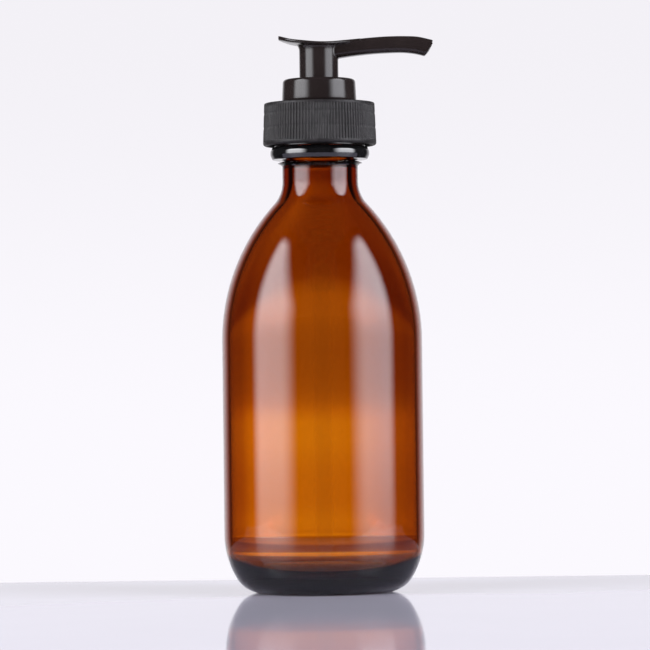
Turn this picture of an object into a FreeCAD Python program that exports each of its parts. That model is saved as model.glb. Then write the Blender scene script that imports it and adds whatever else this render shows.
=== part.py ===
"""Pump oil bottle: a 300 ml amber glass bottle with a lock-down lotion pump.

Millimetres. The origin is the middle of the ring that the bottle stands on, +Z runs up the bottle's
axis and +X is the way the nozzle points. The pump is drawn locked down and the closure screwed tight.
"""

import FreeCAD, Part
import math
import os
from types import SimpleNamespace

import Sketcher

SHEET = "Sizes"

# Driving dimensions: alias, value in millimetres (or a count), meaning.
DRIVING_SIZES = [
    # Glass body.
    ("body_r", 33.5, "outer radius of the bottle's body"),
    ("glass_wall", 2.5, "thickness of the body's wall"),
    ("heel_top_z", 19.5, "height where the heel's curve meets the straight wall"),
    ("heel_arc_r", 28.2, "radius of the heel's curve"),
    ("foot_z", 4.5, "height where the heel's curve meets the foot's rounding"),
    ("foot_round_r", 9.6, "rounding of the foot"),
    ("stand_outer_r", 21.1, "outer radius of the flat ring that the bottle stands on"),
    ("stand_inner_r", 19.8, "inner radius of that ring"),
    ("push_up", 3.0, "height of the hollow under the base"),
    ("floor_rim_z", 6.2, "lowest height of the thick floor's inside"),
    ("floor_rise", 1.0, "how far the floor inside rises in the middle"),
    ("inner_heel_r", 9.5, "radius of the inside corner at the heel"),
    ("shoulder_z", 84.0, "height where the shoulder starts"),
    ("shoulder_arc_r", 67.8, "radius of the shoulder's curve"),
    ("neck_fillet_r", 11.0, "radius of the curve from shoulder to neck, outside"),
    ("inner_fillet_r", 14.0, "the same curve, inside"),
    ("neck_r", 12.65, "outer radius of the neck"),
    ("bore_r", 9.3, "radius of the bore through neck and finish"),
    # Finish: the part of the neck that the closure grips.
    ("bead_low_z", 142.7, "lower edge of the transfer bead"),
    ("bead_z", 143.6, "height of the transfer bead's edge"),
    ("bead_top_z", 144.3, "upper edge of the transfer bead"),
    ("bead_r", 14.25, "radius of the transfer bead"),
    ("waist_r", 11.3, "radius of the groove between the beads"),
    ("lock_bead_low_z", 146.2, "lower end of the locking bead's slope"),
    ("lock_bead_z", 147.4, "lower edge of the locking bead"),
    ("lock_bead_top_z", 148.6, "upper edge of the locking bead"),
    ("lock_bead_r", 13.6, "radius of the locking bead"),
    ("finish_z", 149.4, "height where the plain finish starts"),
    ("finish_r", 12.45, "radius of the finish between its threads"),
    ("rim_z", 159.6, "height of the glass rim"),
    ("rim_round_r", 0.8, "rounding of the rim"),
    ("thread_pitch", 3.18, "pitch of the neck thread"),
    ("thread_turns", 1.5, "turns of the glass thread"),
    ("thread_z", 151.6, "height of the glass thread's start"),
    ("thread_crest_r", 13.65, "crest radius of the glass thread"),
    ("thread_root_half", 1.05, "half the thread's width at its root"),
    ("thread_crest_half", 0.4, "half the thread's width at its crest"),
    ("thread_sink", 0.1, "how far a thread's root reaches into its wall"),
    # Tamper ring.
    ("ring_low_z", 144.75, "lower face of the tamper ring"),
    ("ring_top_z", 148.85, "upper face of the tamper ring"),
    ("ring_edge_r", 15.95, "radius of the ring's upper and lower edges"),
    ("ring_r", 16.6, "radius of the upright band round the ring's middle"),
    ("ring_band_low_z", 146.2, "lower edge of that band"),
    ("ring_band_top_z", 147.5, "upper edge of that band"),
    ("ring_bore_r", 13.9, "radius of the ring's bore"),
    ("ring_lip_r", 12.7, "radius of the lip that catches under the locking bead"),
    ("ring_lip_z", 146.3, "height of the lip's top"),
    ("ring_lip_slope_h", 0.4, "height of the slope above the lip"),
    # Closure and the ribbed shell around it.
    ("skirt_low_z", 149.0, "lower edge of the closure's skirt"),
    ("skirt_r", 15.2, "outer radius of the closure's skirt"),
    ("skirt_bore_r", 14.0, "radius inside the closure, between its threads"),
    ("closure_thread_r", 12.8, "crest radius of the closure's thread"),
    ("closure_thread_half", 0.9, "half the closure thread's width at its root"),
    ("closure_turns", 1.25, "turns of the closure's thread"),
    ("closure_thread_z", 150.3, "height of the closure thread's start"),
    ("web_low_z", 161.8, "lower face of the closure's web"),
    ("web_top_z", 162.8, "upper face of the closure's web"),
    ("web_hole_r", 9.8, "radius of the hole in web and shell"),
    ("shell_low_z", 149.4, "lower edge of the shell"),
    ("shell_low_r", 19.0, "radius of the shell near its lower edge"),
    ("shell_top_r", 18.5, "radius of the shell at its top"),
    ("shell_top_z", 163.7, "upper face of the shell"),
    ("shell_round_r", 0.9, "rounding of the shell's lower edge"),
    ("shell_wall", 1.4, "thickness of the shell's wall"),
    ("shell_rib_count", 12, "ribs between shell and closure"),
    ("shell_rib_w", 1.0, "width of each of those ribs"),
    ("fit_gap", 0.05, "gap of a snug fit between pieces of one body"),
    # Gasket and the pump's housing.
    ("gasket_t", 1.0, "thickness of the gasket"),
    ("gasket_r", 12.8, "outer radius of the gasket"),
    ("gasket_bore_r", 8.2, "inner radius of the gasket"),
    ("flange_r", 13.0, "radius of the housing's flange"),
    ("flange_top_z", 161.7, "upper face of that flange"),
    ("spigot_r", 9.4, "outer radius of the spigot that holds the chaplet"),
    ("spigot_bore_r", 8.4, "inner radius of that spigot"),
    ("spigot_top_z", 167.3, "top of the spigot"),
    ("ledge_z", 161.2, "ledge inside the spigot"),
    ("cylinder_r", 8.0, "outer radius of the pump's cylinder"),
    ("cylinder_bore_r", 6.8, "bore of the pump's cylinder"),
    ("seat_ledge_z", 117.0, "ledge that the spring seat stands on"),
    ("chamber_r", 3.2, "radius of the ball's chamber"),
    ("valve_top_z", 112.9, "top of the ball's conical seat"),
    ("valve_z", 111.2, "bottom of the ball's conical seat"),
    ("inlet_r", 1.5, "radius of the inlet under the ball"),
    ("socket_top_z", 109.7, "end wall of the dip tube's socket"),
    ("socket_low_z", 100.5, "mouth of the dip tube's socket"),
    ("socket_r", 4.6, "outer radius of that socket"),
    ("cone_top_z", 116.2, "upper end of the cone under the cylinder"),
    ("cone_low_z", 112.6, "lower end of that cone"),
    ("vent_r", 0.6, "radius of the air vent in the cylinder"),
    ("vent_z", 155.0, "height of the air vent"),
    # Chaplet.
    ("chaplet_low_z", 163.85, "lower face of the chaplet"),
    ("chaplet_foot_r", 11.7, "radius of the chaplet's lower edge"),
    ("chaplet_low_r", 12.45, "largest radius of the chaplet"),
    ("chaplet_chamfer_z", 164.9, "height where its lower slope ends"),
    ("chaplet_top_r", 12.2, "radius of the chaplet near its top"),
    ("chaplet_round_r", 1.2, "rounding of the chaplet's top edge"),
    ("chaplet_top_z", 171.7, "upper face of the chaplet"),
    ("well_r", 7.45, "radius of the well that the head screws into"),
    ("well_floor_z", 165.2, "floor of that well"),
    ("guide_r", 4.15, "bore that guides the stem"),
    ("guide_low_z", 158.0, "lower end of the guide"),
    ("guide_outer_r", 6.6, "outer radius of the guide"),
    ("lock_pitch", 2.4, "pitch of the lock thread"),
    ("lock_turns", 1, "turns of the lock thread"),
    ("lock_half", 0.45, "half the lock thread's width at its root"),
    ("lock_crest_half", 0.22, "half the lock thread's width at its crest"),
    ("lock_well_crest_r", 7.05, "crest radius of the lock thread in the well"),
    ("lock_well_z", 168.4, "start of the lock thread in the well"),
    ("lock_head_crest_r", 6.95, "crest radius of the lock thread on the head"),
    ("lock_head_z", 166.6, "start of the lock thread on the head"),
    # Spring seat, ball and spring.
    ("seat_disc_t", 1.6, "thickness of the spring seat's disc"),
    ("seat_r", 6.7, "radius of that disc"),
    ("seat_post_r", 3.4, "radius of the post inside the spring"),
    ("seat_post_h", 2.4, "height of that post"),
    ("seat_hole_r", 0.8, "radius of each flow hole through the seat"),
    ("seat_hole_at_r", 2.2, "radius of the circle of flow holes"),
    ("seat_hole_count", 4, "flow holes"),
    ("ball_r", 2.38, "radius of the inlet ball"),
    ("ball_z", 113.1, "height of the ball's middle, on its seat"),
    ("spring_r", 4.6, "radius of the spring's coil, to the wire's middle"),
    ("wire_r", 0.4, "radius of the spring's wire"),
    ("spring_turns", 8, "turns of the spring"),
    # Rod, piston and stem, at the bottom of the stroke.
    ("rod_r", 2.9, "outer radius of the piston rod"),
    ("rod_bore_r", 1.7, "bore of the piston rod"),
    ("rod_top_z", 149.8, "top of the rod"),
    ("rod_floor_z", 133.9, "bottom of the rod's bore"),
    ("rod_seat_z", 134.0, "face of the rod's flange that the piston closes on"),
    ("rod_flange_r", 5.2, "radius of that flange"),
    ("rod_flange_low_z", 133.0, "lower face of that flange"),
    ("rod_pin_r", 3.4, "radius of the pin inside the spring"),
    ("rod_pin_low_z", 130.0, "lower end of that pin"),
    ("port_r", 0.5, "radius of each port into the rod"),
    ("port_z", 134.6, "height of the ports"),
    ("piston_low_z", 135.25, "lower face of the piston"),
    ("piston_top_z", 142.9, "upper face of the piston"),
    ("piston_bore_r", 3.0, "bore of the piston"),
    ("piston_lip_r", 6.75, "radius of the piston's lips"),
    ("piston_waist_r", 5.4, "radius of the piston between its lips"),
    ("piston_lip_h", 1.4, "height of each lip"),
    ("stem_r", 4.05, "outer radius of the stem"),
    ("stem_bore_r", 2.4, "bore of the stem"),
    ("stem_low_z", 143.0, "lower end of the stem"),
    ("rod_socket_r", 3.0, "radius of the stem's socket for the rod"),
    ("stem_socket_z", 150.0, "top of the stem's socket for the rod"),
    ("stem_top_z", 178.0, "upper end of the stem"),
    # Dip tube.
    ("tube_r", 3.0, "outer radius of the dip tube"),
    ("tube_bore_r", 2.2, "bore of the dip tube"),
    ("tube_low_z", 10.0, "lower end of the dip tube"),
    # Head.
    ("head_r", 6.55, "outer radius of the head's skirt"),
    ("head_low_z", 165.5, "lower edge of the skirt"),
    ("head_hollow_r", 5.3, "radius inside the skirt"),
    ("head_hollow_top_z", 175.0, "top of the hollow inside the skirt"),
    ("stem_socket_r", 4.07, "radius of the head's socket for the stem"),
    ("flare_low_z", 181.4, "height where the skirt starts to flare"),
    ("flare_top_z", 184.05, "height where the flare ends, inside the thumb plate"),
    ("flare_top_r", 7.7, "outer radius of the skirt's flare at that height"),
    ("flare_arc_r", 3.7, "radius of the flare's curve"),
    ("plate_back_x", -13.5, "back edge of the thumb plate"),
    ("plate_back_z", 186.5, "height of that edge"),
    ("plate_t", 1.5, "thickness of the thumb plate"),
    ("plate_dip_arc_r", 60.0, "radius of the thumb plate's hollow"),
    ("plate_front_x", 3.0, "front end of that hollow"),
    ("plate_front_z", 184.1, "height of that end"),
    ("plate_half_w", 8.2, "half the thumb plate's width"),
    ("plate_back_half_w", 2.2, "half the width of the plate's straight back edge"),
    ("plate_wide_x", -4.0, "where the plate is widest"),
    ("plate_front_half_w", 7.4, "half the plate's width at the front end of its hollow"),
    ("plate_corner_arc_r", 9.8, "radius of the plate's back corners"),
    ("plate_side_arc_r", 19.0, "radius of the plate's sides, outwards and then inwards"),
    ("plate_merge_x", 13.0, "where the thumb plate narrows into the nozzle"),
    ("crown_x", 18.0, "back end of the nozzle's crown"),
    ("crown_z", 185.7, "height of that end"),
    ("crown_arc_r", 50.0, "radius of the nozzle's crown"),
    ("tip_x", 38.3, "front of the nozzle's blunt tip"),
    ("tip_z", 184.5, "height of the tip's upper corner"),
    ("tip_low_z", 182.4, "height of the tip's middle corner"),
    ("lip_x", 35.5, "lower corner of the nozzle's tip"),
    ("lip_z", 179.1, "height of that corner"),
    ("belly_arc_r", 39.5, "radius of the nozzle's underside near the tip"),
    ("belly_z", 180.15, "height of the underside at the crown's back end"),
    ("throat_z", 178.6, "height of the underside at the skirt"),
    ("nozzle_root_half_w", 4.4, "half the nozzle's width at the skirt"),
    ("nozzle_tip_half_w", 2.7, "half the nozzle's width at its tip"),
    ("plan_front_x", 39.0, "front end of the head's plan outlines, past the tip"),
    ("channel_r", 1.3, "radius of the channel to the nozzle"),
    ("channel_z", 182.4, "height of the channel along the nozzle"),
    ("channel_bend_r", 3.0, "radius of the channel's bend over the stem"),
    # Cuts.
    ("cut_margin", 5.0, "how far a cut or an outline reaches past the solid"),
    ("plan_cut_half_w", 60.0, "half the side of the square that a plan is cut from"),
]


class Size:
    """A number that also carries the spreadsheet formula which gives it."""

    def __init__(self, value, formula):
        self.value = float(value)
        self.formula = formula

    def __add__(self, other):
        other = as_size(other)
        return Size(self.value + other.value, f"({self.formula} + {other.formula})")

    def __sub__(self, other):
        other = as_size(other)
        return Size(self.value - other.value, f"({self.formula} - {other.formula})")

    def __mul__(self, other):
        other = as_size(other)
        return Size(self.value * other.value, f"({self.formula} * {other.formula})")

    def __truediv__(self, other):
        other = as_size(other)
        return Size(self.value / other.value, f"({self.formula} / {other.formula})")

    def __neg__(self):
        return Size(-self.value, f"(0 - {self.formula})")


def as_size(number):
    return number if isinstance(number, Size) else Size(number, f"({float(number)})")


def root(size):
    """The square root of a size."""
    return Size(math.sqrt(size.value), f"sqrt({size.formula})")


doc = FreeCAD.newDocument("pump_oil_bottle")


def fill_sheet():
    """Writes the driving dimensions to the spreadsheet and returns them as named sizes."""
    sheet = doc.addObject("Spreadsheet::Sheet", SHEET)
    for row, (alias, value, meaning) in enumerate(DRIVING_SIZES, 1):
        sheet.set(f"A{row}", alias)
        sheet.set(f"B{row}", str(value))
        sheet.setAlias(f"B{row}", alias)
        sheet.set(f"C{row}", meaning)
    doc.recompute()
    return SimpleNamespace(**{a: Size(v, f"{SHEET}.{a}") for a, v, _ in DRIVING_SIZES})


d = fill_sheet()


# ---------------------------------------------------------------- helpers


def bind(thing, name, size):
    """Sets a property and keeps it bound to the spreadsheet."""
    size = as_size(size)
    whole = isinstance(getattr(thing, name), int)
    setattr(thing, name, round(size.value) if whole else size.value)
    thing.setExpression(name, size.formula)


def origin_plane(body, role):
    return next(p for p in body.Origin.OriginFeatures if p.Role == role)


def new_body(label):
    return doc.addObject("PartDesign::Body", label)


def new_sketch(body, name, role, height=0.0):
    """A sketch on one of the body's own planes, raised above it by height."""
    sketch = body.newObject("Sketcher::SketchObject", name)
    sketch.AttachmentSupport = [(origin_plane(body, role), "")]
    sketch.MapMode = "FlatFace"
    height = as_size(height)
    sketch.AttachmentOffset.Base.z = height.value
    sketch.setExpression("AttachmentOffset.Base.z", height.formula)
    return sketch


def pin_point(sketch, edge, end, x, y):
    """Fixes one end of an edge at (x, y), both bound to the spreadsheet."""
    for kind, size in (("DistanceX", as_size(x)), ("DistanceY", as_size(y))):
        index = sketch.addConstraint(Sketcher.Constraint(kind, -1, 1, edge, end, size.value))
        sketch.setExpression(f"Constraints[{index}]", size.formula)


def arc_between(start, end, radius):
    """The arc shorter than a half turn that bows left of the way from start to end, or right of it if
    radius is negative."""
    half = (end - start) * 0.5
    left = FreeCAD.Vector(-half.y, half.x, 0).normalize() * math.copysign(1.0, radius)
    reach = abs(radius) - math.sqrt(radius * radius - half.Length**2)
    return Part.Arc(start, start + half + left * reach, end)


def trace(sketch, points, closed=True):
    """Draws a line through points. Each is (x, y), or (x, y, radius) where the edge to the next point
    is an arc."""
    at = [FreeCAD.Vector(as_size(p[0]).value, as_size(p[1]).value, 0) for p in points]
    count = len(points) if closed else len(points) - 1
    first = sketch.GeometryCount
    ends = []
    for i in range(count):
        start, end = at[i], at[(i + 1) % len(points)]
        if len(points[i]) == 2:
            sketch.addGeometry(Part.LineSegment(start, end), False)
            ends.append((1, 2))
            continue
        radius = as_size(points[i][2])
        arc = arc_between(start, end, radius.value)
        # a sketch's arcs always run anticlockwise
        backward = radius.value > 0
        sketch.addGeometry(arc, False)
        index = sketch.addConstraint(Sketcher.Constraint("Radius", first + i, abs(radius.value)))
        sketch.setExpression(f"Constraints[{index}]", f"abs({radius.formula})")
        ends.append((2, 1) if backward else (1, 2))
    for i in range(count):
        pin_point(sketch, first + i, ends[i][0], points[i][0], points[i][1])
        if i + 1 < count or closed:
            after = (i + 1) % count
            joined = (first + i, ends[i][1], first + after, ends[after][0])
            sketch.addConstraint(Sketcher.Constraint("Coincident", *joined))
    if not closed:
        pin_point(sketch, first + count - 1, ends[-1][1], points[-1][0], points[-1][1])


def outline(body, name, role, points, height=0.0):
    sketch = new_sketch(body, name, role, height)
    trace(sketch, points)
    return sketch


def circle(body, name, role, radius, height=0.0, x=0.0, y=0.0):
    """A sketch of one circle."""
    sketch = new_sketch(body, name, role, height)
    add_circle(sketch, radius, x, y)
    return sketch


def add_circle(sketch, radius, x, y):
    centre = FreeCAD.Vector(as_size(x).value, as_size(y).value, 0)
    edge = sketch.addGeometry(Part.Circle(centre, FreeCAD.Vector(0, 0, 1), radius.value), False)
    index = sketch.addConstraint(Sketcher.Constraint("Radius", edge, radius.value))
    sketch.setExpression(f"Constraints[{index}]", radius.formula)
    pin_point(sketch, edge, 3, x, y)


def revolve(body, name, points):
    """Turns an outline in the XZ plane into a round solid about Z."""
    feature = body.newObject("PartDesign::Revolution", name)
    profile = outline(body, name + "Outline", "XZ_Plane", points)
    feature.Profile = profile
    feature.ReferenceAxis = (profile, ["V_Axis"])
    feature.Angle = 360
    body.Tip = feature
    return feature


def pad(body, name, sketch, length, midplane=False):
    feature = body.newObject("PartDesign::Pad", name)
    feature.Profile = sketch
    bind(feature, "Length", length)
    feature.Midplane = midplane
    body.Tip = feature
    return feature


def pocket(body, name, sketch, length, midplane=False, upward=False):
    """A cut, which has to take material away."""
    doc.recompute()
    before = body.Shape.Volume
    feature = body.newObject("PartDesign::Pocket", name)
    feature.Profile = sketch
    bind(feature, "Length", length)
    feature.Midplane = midplane
    feature.Reversed = upward
    body.Tip = feature
    doc.recompute()
    if not body.Shape.Volume < before - 1e-3:
        raise RuntimeError(f"{name} cuts nothing")
    return feature


def polar(body, name, feature, count):
    """Repeats a feature around Z."""
    pattern = body.newObject("PartDesign::PolarPattern", name)
    pattern.Originals = [feature]
    pattern.Axis = (origin_axis(body, "Z_Axis"), [""])
    pattern.Angle = 360
    bind(pattern, "Occurrences", count)
    body.Tip = pattern
    return pattern


def origin_axis(body, role):
    return next(a for a in body.Origin.OriginFeatures if a.Role == role)


def thread(body, name, base_r, crest_r, base_half, crest_half, start_z, pitch, turns):
    """A screw ridge from base_r to crest_r, right-handed and rising about Z."""
    feature = body.newObject("PartDesign::AdditiveHelix", name)
    profile = outline(
        body,
        name + "Outline",
        "XZ_Plane",
        [
            (base_r, start_z - base_half),
            (crest_r, start_z - crest_half),
            (crest_r, start_z + crest_half),
            (base_r, start_z + base_half),
        ],
    )
    feature.Profile = profile
    feature.ReferenceAxis = (profile, ["V_Axis"])
    feature.Mode = "pitch-turns-angle"
    bind(feature, "Pitch", pitch)
    bind(feature, "Turns", turns)
    body.Tip = feature
    return feature


# ---------------------------------------------------------------- glass


def shoulder_to_neck(shoulder_r, fillet_r, neck_r):
    """Where a shoulder's curve, centred at the shoulder's height, meets the curve into the neck, and
    the height where that curve meets the neck. Both curves touch without a corner."""
    centre_x = d.body_r - d.shoulder_arc_r
    across = neck_r + fillet_r - centre_x
    apart = shoulder_r + fillet_r
    up = root(apart * apart - across * across)
    meet = (centre_x + shoulder_r * across / apart, d.shoulder_z + shoulder_r * up / apart)
    return meet, d.shoulder_z + up


def build_bottle():
    body = new_body("bottle")
    inner_r = d.body_r - d.glass_wall
    inner_shoulder_r = d.shoulder_arc_r - d.glass_wall
    outer_meet, outer_neck_z = shoulder_to_neck(d.shoulder_arc_r, d.neck_fillet_r, d.neck_r)
    inner_meet, inner_neck_z = shoulder_to_neck(inner_shoulder_r, d.inner_fillet_r, d.bore_r)
    heel_drop = d.heel_top_z - d.foot_z
    foot_r = d.body_r - d.heel_arc_r + root(d.heel_arc_r * d.heel_arc_r - heel_drop * heel_drop)
    under_r = (d.stand_inner_r * d.stand_inner_r + d.push_up * d.push_up) / (d.push_up * 2)
    floor_edge_r = inner_r - d.inner_heel_r
    floor_r = (floor_edge_r * floor_edge_r + d.floor_rise * d.floor_rise) / (d.floor_rise * 2)
    outside = [
        (0.0, d.push_up, under_r),
        (d.stand_inner_r, 0.0),
        (d.stand_outer_r, 0.0, -d.foot_round_r),
        (foot_r, d.foot_z, -d.heel_arc_r),
        (d.body_r, d.heel_top_z),
        (d.body_r, d.shoulder_z, -d.shoulder_arc_r),
        (*outer_meet, d.neck_fillet_r),
        (d.neck_r, outer_neck_z),
        (d.neck_r, d.bead_low_z),
        (d.bead_r, d.bead_z),
        (d.waist_r, d.bead_top_z),
        (d.waist_r, d.lock_bead_low_z),
        (d.lock_bead_r, d.lock_bead_z),
        (d.lock_bead_r, d.lock_bead_top_z),
        (d.finish_r, d.finish_z),
        (d.finish_r, d.rim_z - d.rim_round_r, -d.rim_round_r),
        (d.finish_r - d.rim_round_r, d.rim_z),
    ]
    inside = [
        (d.bore_r + d.rim_round_r, d.rim_z, -d.rim_round_r),
        (d.bore_r, d.rim_z - d.rim_round_r),
        (d.bore_r, inner_neck_z, -d.inner_fillet_r),
        (*inner_meet, inner_shoulder_r),
        (inner_r, d.shoulder_z),
        (inner_r, d.floor_rim_z + d.inner_heel_r, d.inner_heel_r),
        (floor_edge_r, d.floor_rim_z, -floor_r),
        (0.0, d.floor_rim_z + d.floor_rise),
    ]
    revolve(body, "Glass", outside + inside)
    thread(
        body,
        "NeckThread",
        d.finish_r - d.thread_sink,
        d.thread_crest_r,
        d.thread_root_half,
        d.thread_crest_half,
        d.thread_z,
        d.thread_pitch,
        d.thread_turns,
    )
    return body


# ---------------------------------------------------------------- ring, closure, shell


def build_tamper_ring():
    body = new_body("tamper_ring")
    revolve(
        body,
        "Ring",
        [
            (d.ring_lip_r, d.ring_low_z),
            (d.ring_edge_r, d.ring_low_z),
            (d.ring_r, d.ring_band_low_z),
            (d.ring_r, d.ring_band_top_z),
            (d.ring_edge_r, d.ring_top_z),
            (d.ring_bore_r, d.ring_top_z),
            (d.ring_bore_r, d.ring_lip_z + d.ring_lip_slope_h),
            (d.ring_lip_r, d.ring_lip_z),
        ],
    )
    return body


def build_closure():
    body = new_body("closure")
    revolve(
        body,
        "Cap",
        [
            (d.skirt_bore_r, d.skirt_low_z),
            (d.skirt_r, d.skirt_low_z),
            (d.skirt_r, d.web_top_z),
            (d.web_hole_r, d.web_top_z),
            (d.web_hole_r, d.web_low_z),
            (d.skirt_bore_r, d.web_low_z),
        ],
    )
    thread(
        body,
        "CapThread",
        d.skirt_bore_r + d.thread_sink,
        d.closure_thread_r,
        d.closure_thread_half,
        d.thread_crest_half,
        d.closure_thread_z,
        d.thread_pitch,
        d.closure_turns,
    )
    return body


def build_collar_shell():
    body = new_body("collar_shell")
    plate_z = d.web_top_z + d.fit_gap
    inner_top_r = d.shell_top_r - d.shell_wall
    inner_low_r = d.shell_low_r - d.shell_wall
    revolve(
        body,
        "Shell",
        [
            (inner_low_r, d.shell_low_z),
            (d.shell_low_r - d.shell_round_r, d.shell_low_z, -d.shell_round_r),
            (d.shell_low_r, d.shell_low_z + d.shell_round_r),
            (d.shell_top_r, d.shell_top_z),
            (d.web_hole_r, d.shell_top_z),
            (d.web_hole_r, plate_z),
            (inner_top_r, plate_z),
        ],
    )
    rib_root = d.skirt_r + d.fit_gap
    half = d.shell_rib_w / 2
    rib_end = d.shell_top_r - d.shell_wall / 2
    rib = outline(
        body,
        "RibOutline",
        "XY_Plane",
        [(rib_root, -half), (rib_end, -half), (rib_end, half), (rib_root, half)],
        d.shell_low_z + d.shell_round_r,
    )
    ribs = pad(body, "Rib", rib, d.shell_top_z - d.shell_low_z - d.shell_round_r)
    polar(body, "Ribs", ribs, d.shell_rib_count)
    return body


# ---------------------------------------------------------------- pump body


def build_gasket():
    body = new_body("gasket")
    top = d.rim_z + d.gasket_t
    revolve(
        body,
        "Washer",
        [
            (d.gasket_bore_r, d.rim_z),
            (d.gasket_r, d.rim_z),
            (d.gasket_r, top),
            (d.gasket_bore_r, top),
        ],
    )
    return body


def build_housing():
    body = new_body("housing")
    flange_z = d.rim_z + d.gasket_t
    revolve(
        body,
        "Cylinder",
        [
            (d.tube_r + d.fit_gap, d.socket_low_z),
            (d.socket_r, d.socket_low_z),
            (d.socket_r, d.cone_low_z),
            (d.cylinder_r, d.cone_top_z),
            (d.cylinder_r, flange_z),
            (d.flange_r, flange_z),
            (d.flange_r, d.flange_top_z),
            (d.spigot_r, d.flange_top_z),
            (d.spigot_r, d.spigot_top_z),
            (d.spigot_bore_r, d.spigot_top_z),
            (d.spigot_bore_r, d.ledge_z),
            (d.cylinder_bore_r, d.ledge_z),
            (d.cylinder_bore_r, d.seat_ledge_z),
            (d.chamber_r, d.seat_ledge_z),
            (d.chamber_r, d.valve_top_z),
            (d.inlet_r, d.valve_z),
            (d.inlet_r, d.socket_top_z),
            (d.tube_r + d.fit_gap, d.socket_top_z),
        ],
    )
    vent = circle(body, "VentOutline", "YZ_Plane", d.vent_r, 0.0, 0.0, d.vent_z)
    pocket(body, "Vent", vent, (d.cylinder_r + d.cut_margin) * 2, midplane=True)
    return body


def build_chaplet():
    body = new_body("chaplet")
    groove_inner_r = d.spigot_bore_r - d.fit_gap
    groove_outer_r = d.spigot_r + d.fit_gap
    groove_top_z = d.spigot_top_z + d.fit_gap
    foot_z = d.ledge_z + d.fit_gap
    revolve(
        body,
        "Ring",
        [
            (d.guide_r, d.guide_low_z),
            (d.guide_outer_r, d.guide_low_z),
            (d.guide_outer_r, foot_z),
            (groove_inner_r, foot_z),
            (groove_inner_r, groove_top_z),
            (groove_outer_r, groove_top_z),
            (groove_outer_r, d.chaplet_low_z),
            (d.chaplet_foot_r, d.chaplet_low_z),
            (d.chaplet_low_r, d.chaplet_chamfer_z),
            (d.chaplet_top_r, d.chaplet_top_z - d.chaplet_round_r, -d.chaplet_round_r),
            (d.chaplet_top_r - d.chaplet_round_r, d.chaplet_top_z),
            (d.well_r, d.chaplet_top_z),
            (d.well_r, d.well_floor_z),
            (d.guide_r, d.well_floor_z),
        ],
    )
    thread(
        body,
        "LockThread",
        d.well_r + d.thread_sink,
        d.lock_well_crest_r,
        d.lock_half,
        d.lock_crest_half,
        d.lock_well_z,
        d.lock_pitch,
        d.lock_turns,
    )
    return body


def build_spring_seat():
    body = new_body("spring_seat")
    disc_top_z = d.seat_ledge_z + d.seat_disc_t
    revolve(
        body,
        "Seat",
        [
            (0.0, d.seat_ledge_z),
            (d.seat_r, d.seat_ledge_z),
            (d.seat_r, disc_top_z),
            (d.seat_post_r, disc_top_z),
            (d.seat_post_r, disc_top_z + d.seat_post_h),
            (0.0, disc_top_z + d.seat_post_h),
        ],
    )
    hole = circle(body, "FlowHoleOutline", "XY_Plane", d.seat_hole_r, d.seat_ledge_z, d.seat_hole_at_r)
    cut = pocket(body, "FlowHole", hole, d.seat_disc_t + d.seat_post_h, upward=True)
    polar(body, "FlowHoles", cut, d.seat_hole_count)
    return body


def build_dip_tube():
    body = new_body("dip_tube")
    length = d.socket_top_z - d.tube_low_z
    sketch = new_sketch(body, "TubeOutline", "XY_Plane", d.tube_low_z)
    add_circle(sketch, d.tube_r, 0.0, 0.0)
    add_circle(sketch, d.tube_bore_r, 0.0, 0.0)
    pad(body, "Tube", sketch, length)
    return body


def build_inlet_ball():
    ball = doc.addObject("Part::Sphere", "inlet_ball")
    bind(ball, "Radius", d.ball_r)
    ball.Placement.Base.z = d.ball_z.value
    ball.setExpression("Placement.Base.z", d.ball_z.formula)
    return ball


def build_pump_spring():
    """A helix of round wire between the spring seat and the rod's flange."""
    body = new_body("pump_spring")
    low_z = d.seat_ledge_z + d.seat_disc_t + d.wire_r + d.fit_gap
    high_z = d.rod_flange_low_z - d.wire_r - d.fit_gap
    wire = circle(body, "WireOutline", "XZ_Plane", d.wire_r, 0.0, d.spring_r, low_z)
    coil = body.newObject("PartDesign::AdditiveHelix", "Coil")
    coil.Profile = wire
    coil.ReferenceAxis = (wire, ["V_Axis"])
    coil.Mode = "pitch-turns-angle"
    bind(coil, "Pitch", (high_z - low_z) / d.spring_turns)
    bind(coil, "Turns", d.spring_turns)
    body.Tip = coil
    return body


# ---------------------------------------------------------------- what moves with the head


def build_piston_rod():
    body = new_body("piston_rod")
    revolve(
        body,
        "Rod",
        [
            (0.0, d.rod_pin_low_z),
            (d.rod_pin_r, d.rod_pin_low_z),
            (d.rod_pin_r, d.rod_flange_low_z),
            (d.rod_flange_r, d.rod_flange_low_z),
            (d.rod_flange_r, d.rod_seat_z),
            (d.rod_r, d.rod_seat_z),
            (d.rod_r, d.rod_top_z),
            (d.rod_bore_r, d.rod_top_z),
            (d.rod_bore_r, d.rod_floor_z),
            (0.0, d.rod_floor_z),
        ],
    )
    for name, role in (("PortX", "YZ_Plane"), ("PortY", "XZ_Plane")):
        hole = circle(body, name + "Outline", role, d.port_r, 0.0, 0.0, d.port_z)
        pocket(body, name, hole, (d.rod_r + d.cut_margin) * 2, midplane=True)
    return body


def build_piston():
    body = new_body("piston")
    lip_z = d.piston_low_z + d.piston_lip_h
    upper_lip_z = d.piston_top_z - d.piston_lip_h
    slope = d.piston_lip_r - d.piston_waist_r
    revolve(
        body,
        "Seal",
        [
            (d.piston_bore_r, d.piston_low_z),
            (d.piston_lip_r, d.piston_low_z),
            (d.piston_lip_r, lip_z),
            (d.piston_waist_r, lip_z + slope / 2),
            (d.piston_waist_r, upper_lip_z - slope / 2),
            (d.piston_lip_r, upper_lip_z),
            (d.piston_lip_r, d.piston_top_z),
            (d.piston_bore_r, d.piston_top_z),
        ],
    )
    return body


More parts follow.
